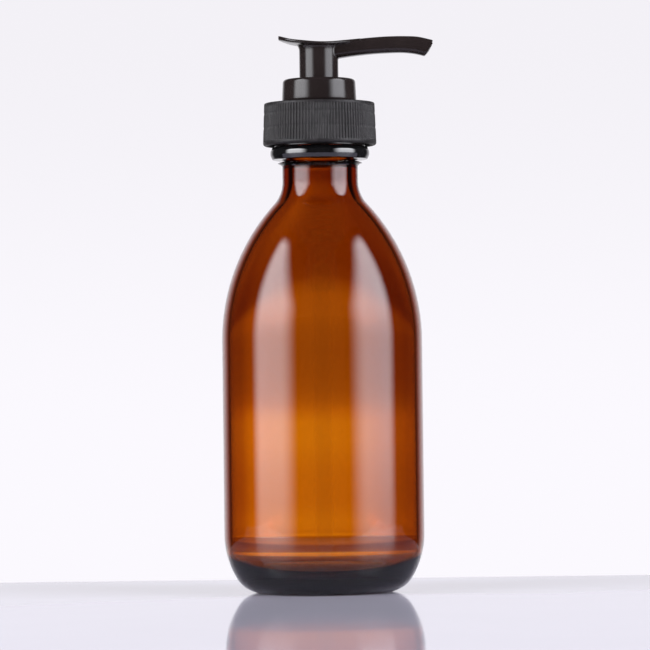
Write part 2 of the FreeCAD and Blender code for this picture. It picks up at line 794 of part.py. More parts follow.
def build_stem():
    body = new_body("stem")
    revolve(
        body,
        "Tube",
        [
            (d.rod_socket_r, d.stem_low_z),
            (d.stem_r, d.stem_low_z),
            (d.stem_r, d.stem_top_z),
            (d.stem_bore_r, d.stem_top_z),
            (d.stem_bore_r, d.stem_socket_z),
            (d.rod_socket_r, d.stem_socket_z),
        ],
    )
    return body


def trim_to_plan(body, name, points, low_z, high_z):
    """Cuts away all that lies outside a plan outline, between two heights."""
    far = d.plan_cut_half_w
    sketch = outline(body, name + "Outline", "XY_Plane", points, low_z)
    trace(sketch, [(-far, -far), (far, -far), (far, far), (-far, far)])
    return pocket(body, name, sketch, high_z - low_z, upward=True)


def build_pump_head():
    body = new_body("pump_head")
    width = (d.plate_half_w + d.cut_margin) * 2
    top = d.crown_z + d.cut_margin
    under_nozzle = d.throat_z - d.cut_margin
    # the nozzle, deep and narrow
    side = outline(
        body,
        "NozzleSideOutline",
        "XZ_Plane",
        [
            (0.0, d.throat_z),
            (d.head_r, d.throat_z),
            (d.crown_x, d.belly_z, d.belly_arc_r),
            (d.lip_x, d.lip_z),
            (d.tip_x, d.tip_low_z),
            (d.tip_x, d.tip_z, -d.crown_arc_r),
            (d.crown_x, d.crown_z),
            (d.plate_front_x, d.plate_front_z),
            (0.0, d.plate_front_z),
        ],
    )
    pad(body, "NozzleSide", side, width, midplane=True)
    front_x = d.plan_front_x
    root_w, tip_w = d.nozzle_root_half_w, d.nozzle_tip_half_w
    merge_w = root_w - (root_w - tip_w) * d.plate_merge_x / front_x
    nozzle_plan = [(0.0, -root_w), (front_x, -tip_w), (front_x, tip_w), (0.0, root_w)]
    trim_to_plan(body, "NozzlePlan", nozzle_plan, under_nozzle, top)
    # the thumb plate, thin and wide, hollowed for the thumb
    plate = outline(
        body,
        "PlateSideOutline",
        "XZ_Plane",
        [
            (d.plate_back_x, d.plate_back_z - d.plate_t),
            (d.plate_front_x, d.plate_front_z - d.plate_t),
            (d.crown_x, d.crown_z - d.plate_t),
            (d.crown_x, d.crown_z),
            (d.plate_front_x, d.plate_front_z, -d.plate_dip_arc_r),
            (d.plate_back_x, d.plate_back_z),
        ],
    )
    pad(body, "PlateSide", plate, width, midplane=True)
    corner, side_r = d.plate_corner_arc_r, d.plate_side_arc_r
    plate_plan = [
        (d.plate_back_x, -d.plate_back_half_w, -corner),
        (d.plate_wide_x, -d.plate_half_w, -side_r),
        (d.plate_front_x, -d.plate_front_half_w, side_r),
        (d.plate_merge_x, -merge_w),
        (front_x, -tip_w),
        (front_x, tip_w),
        (d.plate_merge_x, merge_w, side_r),
        (d.plate_front_x, d.plate_front_half_w, -side_r),
        (d.plate_wide_x, d.plate_half_w, -corner),
        (d.plate_back_x, d.plate_back_half_w),
    ]
    trim_to_plan(body, "PlatePlan", plate_plan, under_nozzle, top)
    # the skirt, which flares out under the plate
    revolve(
        body,
        "Skirt",
        [
            (0.0, d.head_low_z),
            (d.head_r, d.head_low_z),
            (d.head_r, d.flare_low_z, d.flare_arc_r),
            (d.flare_top_r, d.flare_top_z),
            (0.0, d.flare_top_z),
        ],
    )
    thread(
        body,
        "LockThread",
        d.head_r - d.thread_sink,
        d.lock_head_crest_r,
        d.lock_half,
        d.lock_crest_half,
        d.lock_head_z,
        d.lock_pitch,
        d.lock_turns,
    )
    # the hollow skirt, the stem's socket and the channel to the tip
    hollow = circle(body, "HollowOutline", "XY_Plane", d.head_hollow_r, d.head_low_z)
    pocket(body, "Hollow", hollow, d.head_hollow_top_z - d.head_low_z, upward=True)
    socket = circle(body, "SocketOutline", "XY_Plane", d.stem_socket_r, d.head_hollow_top_z)
    pocket(body, "Socket", socket, d.stem_top_z + d.fit_gap - d.head_hollow_top_z, upward=True)
    bend = d.channel_bend_r
    route = new_sketch(body, "ChannelRoute", "XZ_Plane")
    trace(
        route,
        [
            (0.0, d.stem_top_z),
            (0.0, d.channel_z - bend, bend),
            (bend, d.channel_z),
            (d.tip_x + d.cut_margin, d.channel_z),
        ],
        closed=False,
    )
    mouth = circle(body, "ChannelOutline", "XY_Plane", d.channel_r, d.stem_top_z)
    doc.recompute()
    before = body.Shape.Volume
    channel = body.newObject("PartDesign::SubtractivePipe", "Channel")
    channel.Profile = mouth
    channel.Spine = (route, [])
    body.Tip = channel
    doc.recompute()
    if not body.Shape.Volume < before - 1:
        raise RuntimeError("the channel cuts nothing")
    return body


# ---------------------------------------------------------------- build, check and write


BUILDERS = [
    build_bottle,
    build_tamper_ring,
    build_closure,
    build_collar_shell,
    build_gasket,
    build_housing,
    build_chaplet,
    build_spring_seat,
    build_dip_tube,
    build_inlet_ball,
    build_pump_spring,
    build_piston_rod,
    build_piston,
    build_stem,
    build_pump_head,
]


def check_document(pieces):
    """Stops if any feature failed or any piece is not one sound solid."""
    for item in doc.Objects:
        if "Invalid" in item.State or "Error" in item.State:
            raise RuntimeError(f"{item.Label} failed: {item.State}")
    for piece in pieces:
        shape = piece.Shape
        if shape.isNull() or not shape.isValid() or len(shape.Solids) != 1:
            raise RuntimeError(f"{piece.Label} is not one sound solid")
        print(f"{piece.Label:14s} {shape.Volume:10.1f} mm3  {shape.BoundBox}")


def main():
    pieces = [build() for build in BUILDERS]
    doc.recompute()
    check_document(pieces)
    os.makedirs("parts", exist_ok=True)
    for piece in pieces:
        piece.Shape.exportStep(os.path.join("parts", piece.Label + ".step"))


main()
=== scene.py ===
"""Looks of the pump oil bottle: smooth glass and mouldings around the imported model, in a white studio.

Outlines are in millimetres, as (radius, height) or (x, z), and become metres when a mesh is made.
"""
import math

import bpy
import numpy as np
from mathutils import Matrix, Vector


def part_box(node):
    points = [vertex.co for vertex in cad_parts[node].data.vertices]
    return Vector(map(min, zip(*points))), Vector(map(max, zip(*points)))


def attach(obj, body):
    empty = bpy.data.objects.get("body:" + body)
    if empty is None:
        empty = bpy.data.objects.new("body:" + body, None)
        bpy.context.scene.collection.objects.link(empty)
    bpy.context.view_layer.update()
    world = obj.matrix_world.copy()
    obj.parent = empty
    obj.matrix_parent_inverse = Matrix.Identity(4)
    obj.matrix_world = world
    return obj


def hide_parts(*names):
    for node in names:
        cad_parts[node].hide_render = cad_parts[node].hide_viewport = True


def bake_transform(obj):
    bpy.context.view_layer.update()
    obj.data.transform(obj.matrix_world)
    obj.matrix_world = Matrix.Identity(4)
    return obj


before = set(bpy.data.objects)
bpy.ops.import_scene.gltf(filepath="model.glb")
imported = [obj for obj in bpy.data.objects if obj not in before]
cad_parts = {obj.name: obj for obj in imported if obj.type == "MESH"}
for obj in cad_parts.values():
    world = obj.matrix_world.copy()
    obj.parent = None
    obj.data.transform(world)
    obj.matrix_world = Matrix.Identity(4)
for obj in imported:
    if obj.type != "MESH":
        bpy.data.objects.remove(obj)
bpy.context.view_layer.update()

MM = 0.001
FINISH_R = 12.45  # the glass finish, between its thread's ridges
NECK_PITCH = 3.18  # the screw thread of neck and closure
LOCK_PITCH = 2.4  # the lock thread of head and chaplet


def node_span(node):
    """Lowest and highest height of a CAD node, and its largest radius about Z, in millimetres."""
    low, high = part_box(node)
    return low.z / MM, high.z / MM, max(high.x, high.y) / MM


# ---------------------------------------------------------------- outlines


def bow(start, end, radius, steps=12):
    """Points on the arc from start up to, but not including, end. It bows left of the way there, or
    right of it if radius is negative."""
    start, end = np.array(start, float), np.array(end, float)
    half = (end - start) / 2
    reach = np.linalg.norm(half)
    left = np.array([-half[1], half[0]]) / reach * math.copysign(1.0, radius)
    centre = start + half - left * math.sqrt(radius * radius - reach * reach)
    first = math.atan2(*(start - centre)[::-1])
    turn = 2 * math.asin(reach / abs(radius)) * -math.copysign(1.0, radius)
    angles = first + turn * np.arange(steps) / steps
    return [tuple(centre + abs(radius) * np.array([math.cos(a), math.sin(a)])) for a in angles]


def run(start, end, step):
    """Points from start up to, but not including, end, about step apart."""
    start, end = np.array(start, float), np.array(end, float)
    count = max(1, round(np.linalg.norm(end - start) / step))
    return [tuple(start + (end - start) * i / count) for i in range(count)]


def soft_corners(points, radius, steps=4):
    """A closed outline with each corner cut by a small round of about that radius."""
    count = len(points)
    out = []
    for i in range(count):
        here = np.array(points[i], float)
        before = np.array(points[i - 1], float) - here
        after = np.array(points[(i + 1) % count], float) - here
        if here[0] < 1e-6:
            out.append(tuple(here))
            continue
        back, ahead = np.linalg.norm(before), np.linalg.norm(after)
        cut = min(radius, 0.4 * back, 0.4 * ahead)
        p, q = here + before / back * cut, here + after / ahead * cut
        for k in range(steps + 1):
            t = k / steps
            out.append(tuple(p * (1 - t) ** 2 + here * 2 * t * (1 - t) + q * t * t))
    return out


# ---------------------------------------------------------------- meshes


def new_object(name, vertices, faces):
    mesh = bpy.data.meshes.new(name)
    mesh.from_pydata(vertices, [], faces)
    mesh.validate()
    mesh.update()
    piece = bpy.data.objects.new(name, mesh)
    bpy.context.scene.collection.objects.link(piece)
    return piece


def shade_smooth(piece, crease_deg=32):
    piece.data.shade_smooth()
    piece.data.set_sharp_from_angle(angle=math.radians(crease_deg))


def lathe(name, outline, segments=160, shift=None, crease_deg=32):
    """Turns a closed outline, given anticlockwise in (radius, height), about Z. shift(angle, radius,
    height) gives how much further out a point stands."""
    rings, vertices = [], []
    for r, z in outline:
        if r < 1e-6:
            rings.append([len(vertices)] * segments)
            vertices.append((0.0, 0.0, z * MM))
            continue
        rings.append(list(range(len(vertices), len(vertices) + segments)))
        for k in range(segments):
            angle = 2 * math.pi * k / segments
            out = (r + (shift(angle, r, z) if shift else 0.0)) * MM
            vertices.append((out * math.cos(angle), out * math.sin(angle), z * MM))
    faces = []
    for low, high in zip(rings, rings[1:] + rings[:1]):
        for k in range(segments):
            n = (k + 1) % segments
            corners = list(dict.fromkeys((low[k], low[n], high[n], high[k])))
            if len(corners) > 2:
                faces.append(corners)
    piece = new_object(name, vertices, faces)
    shade_smooth(piece, crease_deg)
    return piece


def loft(name, sections):
    """A closed skin over rings of points, all with the same count."""
    count = len(sections[0])
    vertices = [tuple(np.array(p) * MM) for ring in sections for p in ring]
    faces = []
    for i in range(len(sections) - 1):
        for k in range(count):
            n = (k + 1) % count
            faces.append((i * count + k, i * count + n, (i + 1) * count + n, (i + 1) * count + k))
    faces.append(tuple(range(count))[::-1])
    faces.append(tuple((len(sections) - 1) * count + k for k in range(count)))
    return new_object(name, vertices, faces)


def ridge(angle, z, start_z, pitch, turns, height, root_half, crest_half):
    """How far a right-handed screw ridge stands out at an angle and height, tapering at both ends."""
    taper = 0.06  # of a turn
    best = 0.0
    for turn in range(math.ceil(turns) + 1):
        along = turn + angle / (2 * math.pi)
        if along > turns:
            continue
        side = (root_half - abs(z - start_z - pitch * along)) / (root_half - crest_half)
        end = min(along, turns - along) / taper
        best = max(best, height * min(1.0, max(0.0, side)) * min(1.0, max(0.0, end)))
    return best


def apply_modifiers(piece):
    """Makes the modifiers' result the piece's own mesh."""
    bpy.context.view_layer.update()
    evaluated = piece.evaluated_get(bpy.context.evaluated_depsgraph_get())
    mesh = bpy.data.meshes.new_from_object(evaluated)
    piece.modifiers.clear()
    piece.data = mesh


def dress(piece, body, node, material):
    """Puts a finished piece in the place of a CAD node."""
    piece.data.materials.clear()
    piece.data.materials.append(material)
    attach(piece, body)
    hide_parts(node)
    return piece


# ---------------------------------------------------------------- materials


def set_range(node, from_low, from_high, to_low, to_high):
    """Fills in a Map Range node."""
    keys = ("From Min", "From Max", "To Min", "To Max")
    for key, value in zip(keys, (from_low, from_high, to_low, to_high)):
        node.inputs[key].default_value = value


class Shader:
    """A material whose nodes are added one by one."""

    def __init__(self, name):
        self.material = bpy.data.materials.new(name)
        self.material.use_nodes = True
        self.nodes = self.material.node_tree.nodes
        self.links = self.material.node_tree.links
        self.surface = self.nodes["Principled BSDF"]
        self.output = self.nodes["Material Output"]
        self.place = self.add("ShaderNodeTexCoord")

    def add(self, kind, **settings):
        node = self.nodes.new(kind)
        for key, value in settings.items():
            setattr(node, key, value)
        return node

    def link(self, source, target):
        self.links.new(source, target)

    def set(self, **values):
        for key, value in values.items():
            self.surface.inputs[key.replace("_", " ")].default_value = value

    def noise(self, scale, detail=3.0, stretch=(1, 1, 1)):
        """Noise in the object's own space. scale is features per metre."""
        mapping = self.add("ShaderNodeMapping")
        mapping.inputs["Scale"].default_value = stretch
        noise = self.add("ShaderNodeTexNoise")
        noise.inputs["Scale"].default_value = scale
        noise.inputs["Detail"].default_value = detail
        self.link(self.place.outputs["Object"], mapping.inputs["Vector"])
        self.link(mapping.outputs["Vector"], noise.inputs["Vector"])
        return noise.outputs["Fac"]

    def between(self, source, low, high):
        """The source's 0.3 to 0.7 spread over low to high."""
        spread = self.add("ShaderNodeMapRange")
        set_range(spread, 0.3, 0.7, low, high)
        self.link(source, spread.inputs["Value"])
        return spread.outputs["Result"]

    def mix_colour(self, source, first, second):
        """Colours the surface from first to second over the source's 0.3 to 0.7."""
        ramp = self.add("ShaderNodeValToRGB")
        ramp.color_ramp.elements[0].position = 0.3
        ramp.color_ramp.elements[1].position = 0.7
        ramp.color_ramp.elements[0].color = (*first, 1)
        ramp.color_ramp.elements[1].color = (*second, 1)
        self.link(source, ramp.inputs["Fac"])
        self.link(ramp.outputs["Color"], self.surface.inputs["Base Color"])

    def bump(self, source, strength, distance):
        bump = self.add("ShaderNodeBump")
        bump.inputs["Strength"].default_value = strength
        bump.inputs["Distance"].default_value = distance
        self.link(source, bump.inputs["Height"])
        self.link(bump.outputs["Normal"], self.surface.inputs["Normal"])


def amber_glass():
    """Clear amber glass: the colour is in its thickness, with the slight waviness of blown glass."""
    m = Shader("amber_glass")
    m.set(Base_Color=(1, 1, 1, 1), Roughness=0.0, IOR=1.52, Transmission_Weight=1.0)
    m.bump(m.noise(28.0, 1.0, (1, 1, 0.35)), 0.06, 0.0006)
    m.link(m.between(m.noise(260.0, 2.0), 0.0, 0.02), m.surface.inputs["Roughness"])
    volume = m.add("ShaderNodeVolumeAbsorption")
    volume.inputs["Color"].default_value = (0.872, 0.65, 0.04, 1)
    volume.inputs["Density"].default_value = 1400.0
    m.link(volume.outputs["Volume"], m.output.inputs["Volume"])
    return m.material


def gloss_black():
    """Polished black polypropylene with faint flow marks."""
    m = Shader("gloss_black")
    m.set(IOR=1.42, Specular_IOR_Level=0.5)
    m.mix_colour(m.noise(90.0, 4.0, (1, 1, 0.4)), (0.0145, 0.0105, 0.0102), (0.022, 0.016, 0.0152))
    m.link(m.between(m.noise(420.0, 4.0), 0.11, 0.18), m.surface.inputs["Roughness"])
    m.bump(m.noise(1500.0, 2.0), 0.05, 0.00004)
    return m.material


def wet_black():
    """The tamper ring's mirror-like black."""
    m = Shader("ring_black")
    m.set(IOR=1.8)
    m.mix_colour(m.noise(160.0, 3.0), (0.004, 0.004, 0.0045), (0.008, 0.0075, 0.008))
    m.link(m.between(m.noise(600.0, 3.0), 0.05, 0.1), m.surface.inputs["Roughness"])
    m.bump(m.noise(900.0, 2.0), 0.04, 0.00003)
    return m.material


def matte_black():
    """The grip's satin black, a little lighter and darker in faint upright streaks."""
    m = Shader("matte_black")
    m.set(IOR=1.5, Specular_IOR_Level=0.3)
    m.mix_colour(m.noise(700.0, 5.0, (1, 1, 0.3)), (0.009, 0.0078, 0.008), (0.026, 0.0228, 0.0238))
    m.link(m.between(m.noise(900.0, 4.0), 0.42, 0.58), m.surface.inputs["Roughness"])
    m.bump(m.noise(5200.0, 3.0), 0.25, 0.00006)
    return m.material


def natural_plastic():
    """Clear natural polypropylene, hardly tinted."""
    m = Shader("natural_plastic")
    m.set(IOR=1.3, Alpha=0.035, Specular_IOR_Level=0.1)
    m.mix_colour(m.noise(300.0, 3.0), (0.7, 0.66, 0.58), (0.82, 0.79, 0.72))
    m.link(m.between(m.noise(500.0, 2.0), 0.28, 0.4), m.surface.inputs["Roughness"])
    return m.material


def soft_foam():
    """The gasket's closed-cell white foam."""
    m = Shader("gasket_foam")
    m.mix_colour(m.noise(1800.0, 5.0), (0.62, 0.6, 0.56), (0.78, 0.77, 0.73))
    m.set(Roughness=0.85)
    m.bump(m.noise(4200.0, 4.0), 0.5, 0.0001)
    return m.material


GLASS = amber_glass()
GLOSS = gloss_black()
WET = wet_black()
MATTE = matte_black()
NATURAL = natural_plastic()
FOAM = soft_foam()


# ---------------------------------------------------------------- glass bottle


def shoulder_to_neck(wall_r, arc_r, fillet_r, neck_r, shoulder_z):
    """Where the shoulder's curve meets the curve into the neck, and the height where that one ends."""
    centre_r = wall_r - arc_r
    across = neck_r + fillet_r - centre_r
    apart = arc_r + fillet_r
    up = math.sqrt(apart * apart - across * across)
    return (centre_r + arc_r * across / apart, shoulder_z + arc_r * up / apart), shoulder_z + up


def glass_outline():
    """The section of the bottle's wall, anticlockwise: down the inside, under the base, up the outside."""
    _, rim_z, body_r = node_span("bottle")
    wall = 2.5
    heel_z, heel_r, foot_z = 19.5, 28.2, 4.5
    shoulder_z, shoulder_r, inner_shoulder_r = 84.0, 67.8, 65.3
    neck_r, fillet_r, inner_fillet_r = 12.65, 11.0, 14.0
    bore_r, rim_round = 9.3, 0.8
    bead_r, groove_r, lock_r = 14.25, 11.3, 13.6
    floor_z, floor_rise, inner_heel_r = 6.2, 1.0, 9.5
    stand_in, stand_out, push_up = 19.8, 21.1, 3.0
    foot_r = body_r - heel_r + math.sqrt(heel_r**2 - (heel_z - foot_z) ** 2)
    inner_r = body_r - wall
    floor_edge = inner_r - inner_heel_r
    meet, neck_z = shoulder_to_neck(body_r, shoulder_r, fillet_r, neck_r, shoulder_z)
    inner_meet, inner_neck_z = shoulder_to_neck(
        inner_r, inner_shoulder_r, inner_fillet_r, bore_r, shoulder_z
    )
    under_r = (stand_in**2 + push_up**2) / (2 * push_up)
    floor_r = (floor_edge**2 + floor_rise**2) / (2 * floor_rise)
    # only the bead's own corner, which is the second of the three
    bead = soft_corners([(neck_r, 142.6), (bead_r, 143.6), (groove_r, 144.35)], 0.28, 5)[6:12]
    lock_bead = [(groove_r, 146.2), (lock_r, 147.4), (lock_r, 148.6), (FINISH_R, 149.4)]
    return [
        *bow((0.0, push_up), (stand_in, 0.0), under_r, 20),
        *run((stand_in, 0.0), (stand_out, 0.0), 0.6),
        *bow((stand_out, 0.0), (foot_r, foot_z), -9.6, 14),
        *bow((foot_r, foot_z), (body_r, heel_z), -heel_r, 20),
        *run((body_r, heel_z), (body_r, shoulder_z), 3.0),
        *bow((body_r, shoulder_z), meet, -shoulder_r, 34),
        *bow(meet, (neck_r, neck_z), fillet_r, 16),
        *run((neck_r, neck_z), (neck_r, 142.4), 1.0),
        (neck_r, 142.4),
        (neck_r + 0.2, 142.8),
        *bead,
        (groove_r + 0.2, 144.4),
        (groove_r, 144.7),
        *lock_bead,
        *run((FINISH_R, 149.5), (FINISH_R, rim_z - rim_round), 0.15),
        *bow((FINISH_R, rim_z - rim_round), (FINISH_R - rim_round, rim_z), -rim_round, 6),
        (FINISH_R - rim_round, rim_z),
        *bow((bore_r + rim_round, rim_z), (bore_r, rim_z - rim_round), -rim_round, 6),
        *run((bore_r, rim_z - rim_round), (bore_r, inner_neck_z), 1.5),
        *bow((bore_r, inner_neck_z), inner_meet, -inner_fillet_r, 16),
        *bow(inner_meet, (inner_r, shoulder_z), inner_shoulder_r, 34),
        *run((inner_r, shoulder_z), (inner_r, floor_z + inner_heel_r), 3.0),
        *bow((inner_r, floor_z + inner_heel_r), (floor_edge, floor_z), inner_heel_r, 16),
        *bow((floor_edge, floor_z), (0.0, floor_z + floor_rise), -floor_r, 20),
        (0.0, floor_z + floor_rise),
    ]


def build_glass():
    """The bottle, with its screw thread standing out of the finish."""

    def thread(angle, r, z):
        if abs(r - FINISH_R) > 0.01 or z < 149.6:
            return 0.0
        return ridge(angle, z, 151.6, NECK_PITCH, 1.5, 1.2, 1.05, 0.4)

    bottle = lathe("glass_bottle", glass_outline(), 192, thread, 40)
    return dress(bottle, "bottle", "bottle", GLASS)


# ---------------------------------------------------------------- ring, closure, shell, chaplet


def build_tamper_ring():
    low, high, band_r = node_span("tamper_ring")
    edge_r, bore_r, lip_r, lip_z = 15.95, 13.9, 12.7, 146.3
    outline = [
        (lip_r, low),
        (edge_r, low),
        (band_r, 146.2),
        (band_r, 147.5),
        (edge_r, high),
        (bore_r, high),
        (bore_r, lip_z + 0.4),
        (lip_r, lip_z),
    ]
    ring = lathe("neck_ring", soft_corners(outline, 0.3), 160, crease_deg=40)
    return dress(ring, "tamper_ring", "tamper_ring", WET)


def build_closure():
    low, high, skirt_r = node_span("closure")
    bore_r, hole_r, web_z = 14.0, 9.8, 161.8
    corners = [
        (bore_r, low),
        (skirt_r, low),
        (skirt_r, high),
        (hole_r, high),
        (hole_r, web_z),
        (bore_r, web_z),
    ]
    inside = run((bore_r, web_z - 0.4), (bore_r, low + 0.4), 0.15)

    def thread(angle, r, z):
        if abs(r - bore_r) > 0.01:
            return 0.0
        return -ridge(angle, z, 150.3, NECK_PITCH, 1.25, 1.2, 0.9, 0.4)

    cap = lathe("inner_closure", soft_corners(corners, 0.3) + inside, 160, thread, 40)
    return dress(cap, "collar", "closure", GLOSS)


def build_shell():
    """The outer collar, with fine upright ribs and two faint bands round it."""
    low, high, low_r = node_span("collar_shell")
    top_r, wall, hole_r, round_r = 18.5, 1.4, 9.8, 0.9
    under_z = 162.85
    rib_count, rib_depth, rib_end = 108, 0.26, 0.4
    rib_low, rib_high = low + 1.2, high - 0.75
    bands, band_depth, band_half = (155.4, 160.1), 0.1, 0.45

    def side_r(z):
        return low_r + (top_r - low_r) * (z - low - round_r) / (high - low - round_r)

    side = [(side_r(z), z) for z in np.arange(low + round_r, high - 0.5, 0.22)]
    outline = [
        (low_r - wall, low + 0.2),
        (low_r - wall + 0.2, low),
        *bow((low_r - round_r, low), (low_r, low + round_r), -round_r, 6),
        *side,
        (side_r(high - 0.35), high - 0.35),
        (top_r - 0.12, high - 0.1),
        (top_r - 0.35, high),
        *run((top_r - 0.5, high), (hole_r + 0.2, high), 2.0),
        (hole_r + 0.2, high),
        (hole_r, high - 0.2),
        (hole_r, under_z),
        (top_r - wall, under_z),
    ]

    def grip(angle, r, z):
        if r < side_r(z) - 0.02 or not rib_low < z < rib_high:
            return 0.0
        ends = min(1.0, (z - rib_low) / rib_end, (rib_high - z) / rib_end)
        groove = (0.5 + 0.5 * math.cos(angle * rib_count)) ** 2
        band = sum(math.exp(-(((z - b) / band_half) ** 2)) for b in bands)
        return -ends * (rib_depth * groove + band_depth * band)

    shell = lathe("ribbed_collar", outline, rib_count * 10, grip, 60)
    return dress(shell, "collar", "collar_shell", MATTE)


def build_chaplet():
    low, high, low_r = node_span("chaplet")
    guide_r, plug_r, bore_r, seat_z = 4.15, 6.6, 7.45, 165.2
    slot_in, slot_out, slot_low, slot_high = 8.35, 9.45, 161.25, 167.35
    foot_z, round_r, round_low_r, round_top_r = 163.85, 1.2, 12.2, 11.0
    outline = [
        (guide_r, low),
        (plug_r, low),
        (plug_r, slot_low),
        (slot_in, slot_low),
        (slot_in, slot_high),
        (slot_out, slot_high),
        (slot_out, foot_z),
        (11.5, foot_z),
        *bow((11.7, foot_z + 0.05), (low_r, 164.9), -round_r, 6),
        (low_r, 164.9),
        (low_r - 0.02, 165.6),
        *run((low_r - 0.03, 166.0), (round_low_r, high - round_r), 1.0),
        *bow((round_low_r, high - round_r), (round_top_r, high), -round_r, 10),
        *run((round_top_r, high), (7.8, high), 1.0),
        (7.8, high),
        (7.55, high - 0.1),
        *run((bore_r, high - 0.35), (bore_r, 165.3), 0.15),
        (bore_r, seat_z),
        (guide_r, seat_z),
    ]

    def thread(angle, r, z):
        if abs(r - bore_r) > 0.01:
            return 0.0
        return -ridge(angle, z, 168.4, LOCK_PITCH, 1.0, 0.4, 0.45, 0.22)

    ring = lathe("lock_chaplet", outline, 160, thread, 40)
    return dress(ring, "pump_body", "chaplet", GLOSS)


# ---------------------------------------------------------------- pump inside the bottle


def build_housing():
    low, high, flange_r = node_span("housing")
    socket_r, socket_out, socket_top = 3.05, 4.6, 109.7
    cylinder_r, bore_r, step_z, seat_r = 8.0, 6.8, 117.0, 3.2
    flange_low, flange_high, collar_r, collar_in, collar_floor = 160.6, 161.7, 9.4, 8.4, 161.2
    inlet_r = 1.5
    outline = [
        (socket_r, low),
        (socket_out, low),
        (socket_out, 112.6),
        (cylinder_r, 116.2),
        (cylinder_r, flange_low),
        (flange_r, flange_low),
        (flange_r, flange_high),
        (collar_r, flange_high),
        (collar_r, high),
        (collar_in, high),
        (collar_in, collar_floor),
        (bore_r, collar_floor),
        (bore_r, step_z),
        (seat_r, step_z),
        (seat_r, 112.9),
        (inlet_r, 111.2),
        (inlet_r, socket_top),
        (socket_r, socket_top),
    ]
    piece = lathe("pump_housing", soft_corners(outline, 0.3), 96)
    return dress(piece, "pump_body", "housing", NATURAL)


def build_dip_tube():
    low, high, tube_r = node_span("dip_tube")
    bore_r = 2.2
    outline = soft_corners([(bore_r, low), (tube_r, low), (tube_r, high), (bore_r, high)], 0.2)
    piece = lathe("suction_tube", outline, 64)
    return dress(piece, "pump_body", "dip_tube", NATURAL)


def build_stem():
    low, high, stem_r = node_span("stem")
    socket_r, bore_r, socket_z = 3.0, 2.4, 150.0
    outline = [
        (socket_r, low),
        (stem_r, low),
        (stem_r, high),
        (bore_r, high),
        (bore_r, socket_z),
        (socket_r, socket_z),
    ]
    piece = lathe("pump_stem", soft_corners(outline, 0.2), 96)
    return dress(piece, "head", "stem", GLOSS)


def build_spring():
    """An evenly wound round wire. It stretches between the seat and the rod."""
    low, high, outer_r = node_span("pump_spring")
    wire_r, turns, around = 0.4, 8, 12
    coil_r = outer_r - wire_r
    low_z, high_z = low + wire_r, high - wire_r
    steps = turns * 48
    ring = [2 * math.pi * k / around for k in range(around)]
    up = np.array([0, 0, 1])
    sections = []
    for i in range(steps + 1):
        t = i / steps
        angle = 2 * math.pi * turns * t
        out = np.array([math.cos(angle), math.sin(angle), 0])
        centre = coil_r * out + up * (low_z + (high_z - low_z) * t)
        sections.append([centre + wire_r * (out * math.cos(a) + up * math.sin(a)) for a in ring])
    spring = loft("return_spring", sections)
    shade_smooth(spring, 50)
    spring.data.materials.append(NATURAL)
    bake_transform(spring)
    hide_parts("pump_spring")
    return spring


# ---------------------------------------------------------------- head


def superellipse(top, bottom, half_w, power, count=40):
    """A rounded section between a top and a bottom point in the XZ plane, half_w wide each way."""
    top, bottom = np.array(top, float), np.array(bottom, float)
    middle, half = (top + bottom) / 2, (top - bottom) / 2
    ring = []
    for k in range(count):
        a = 2 * math.pi * k / count
        across = math.copysign(abs(math.cos(a)) ** (2 / power), math.cos(a)) * half_w
        along = math.copysign(abs(math.sin(a)) ** (2 / power), math.sin(a))
        x, z = middle + half * along
        ring.append((x, across, z))
    return ring


def curve_at(points, x):
    """A smooth height through (x, z) points."""
    xs, zs = np.array(points, float).T
    slopes = np.gradient(zs, xs)
    i = int(np.clip(np.searchsorted(xs, x) - 1, 0, len(xs) - 2))
    width = xs[i + 1] - xs[i]
    t = (x - xs[i]) / width
    return (
        zs[i] * (1 + 2 * t) * (1 - t) ** 2
        + slopes[i] * width * t * (1 - t) ** 2
        + zs[i + 1] * t * t * (3 - 2 * t)
        + slopes[i + 1] * width * t * t * (t - 1)
    )


TOP_LINE = [(-13.5, 186.5), (-10.0, 185.35), (-5.2, 184.6), (0.0, 184.15), (4.5, 184.25), (8.7, 184.7),
            (12.7, 185.1), (17.0, 185.5), (22.7, 185.85), (29.0, 185.9), (33.0, 185.7), (38.3, 184.5)]
BELLY_LINE = [(-2.0, 178.3), (6.4, 178.6), (10.7, 179.2), (16.7, 179.85), (22.7, 180.2), (28.7, 180.25),
              (32.7, 179.75), (35.5, 179.05)]
TIP_LOW_Z = 182.3


def nozzle_loft():
    """The nozzle from inside the skirt to its tip, which is blunt above and slants back below."""
    tip_x, lip_x, root_w, tip_w = TOP_LINE[-1][0], BELLY_LINE[-1][0], 4.4, 2.8
    steps = 44
    sections = []
    for i in range(steps + 1):
        t = i / steps
        top = (tip_x * t, curve_at(TOP_LINE, tip_x * t))
        bottom = (lip_x * t, curve_at(BELLY_LINE, lip_x * t))
        ring = superellipse(top, bottom, root_w + (tip_w - root_w) * t, 3.2)
        if i == steps:
            # the blunt front stands as far out as the top down to the middle of the tip
            slope = (tip_x - lip_x) / (TIP_LOW_Z - bottom[1])
            ring = [(min(tip_x, lip_x + slope * (z - bottom[1])), y, z) for _, y, z in ring]
        sections.append(ring)
    return loft("nozzle", sections)


